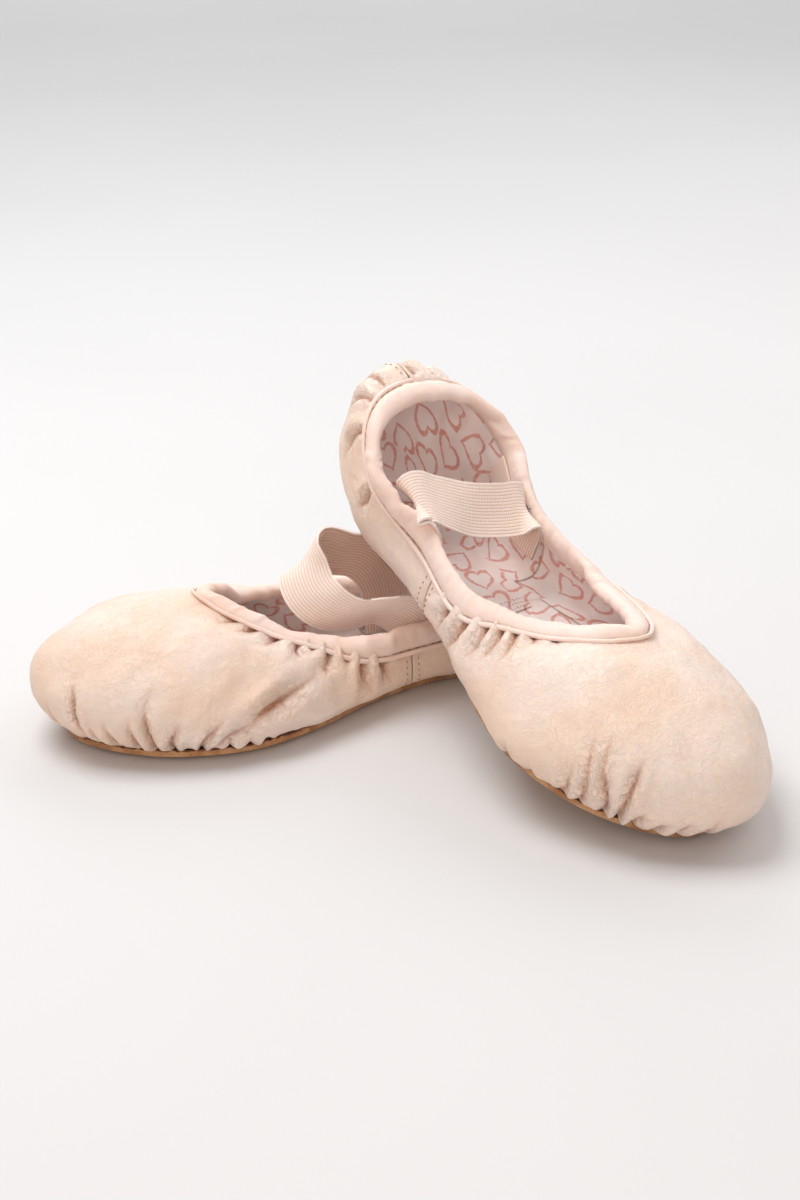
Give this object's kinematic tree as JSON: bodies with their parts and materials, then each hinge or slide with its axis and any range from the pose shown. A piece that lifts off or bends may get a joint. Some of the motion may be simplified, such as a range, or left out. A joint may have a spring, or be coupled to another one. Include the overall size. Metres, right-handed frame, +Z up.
{
  "type": "ballet slippers",
  "caption": "Pair of soft leather ballet slippers with elastic instep straps, one lying flat and one propped across it.",
  "frame": {"origin": "on the floor under the resting slipper's outsole, 110 mm forward of its heel", "axes": "+Z up, the resting slipper's toe points along -X"},
  "size_m": [0.2292, 0.2221, 0.1207],
  "materials": {
    "leather": "soft pale pink full-grain leather",
    "binding": "smooth pale pink leather strip",
    "suede": "brown suede with a raw cut edge",
    "insole_board": "fibre board",
    "cotton": "off-white cotton with heart outlines",
    "elastic": "ribbed woven elastic",
    "thread": "dark sewing thread"
  },
  "bodies": {
    "resting_slipper": {"resting_outsole": "suede", "resting_insole_board": "insole_board", "resting_insole_sock": "cotton", "resting_vamp": "leather", "resting_quarter_left": "leather", "resting_quarter_right": "leather", "resting_vamp_lining": "cotton", "resting_quarter_lining_left": "cotton", "resting_quarter_lining_right": "cotton", "resting_topline_binding": "binding", "resting_drawcord": "elastic", "resting_strap_end_left": "elastic", "resting_strap_end_right": "elastic", "resting_strap_stitch_left": "thread", "resting_strap_stitch_right": "thread"},
    "resting_strap": {"resting_strap": "elastic"},
    "propped_slipper": {"propped_outsole": "suede", "propped_insole_board": "insole_board", "propped_insole_sock": "cotton", "propped_vamp": "leather", "propped_quarter_left": "leather", "propped_quarter_right": "leather", "propped_vamp_lining": "cotton", "propped_quarter_lining_left": "cotton", "propped_quarter_lining_right": "cotton", "propped_topline_binding": "binding", "propped_drawcord": "elastic", "propped_strap_end_left": "elastic", "propped_strap_end_right": "elastic", "propped_strap_stitch_left": "thread", "propped_strap_stitch_right": "thread"},
    "propped_strap": {"propped_strap": "elastic"}
  },
  "joints": [
    {"name": "propped_lift", "type": "slide", "parent": "resting_slipper", "child": "propped_slipper", "axis": [0, 0, 1], "range_m": [0, 0.12]},
    {"name": "resting_strap_swing", "type": "hinge", "parent": "resting_slipper", "child": "resting_strap", "pos_m": [0.048, 0, 0.0205], "axis": [0, 1, 0], "range_deg": [-25, 6]},
    {"name": "propped_strap_swing", "type": "hinge", "parent": "propped_slipper", "child": "propped_strap", "pos_m": [0.06108, -0.03468, 0.06804], "axis": [0.9713, 0.2353, -0.0332], "range_deg": [-70, 70]}
  ]
}
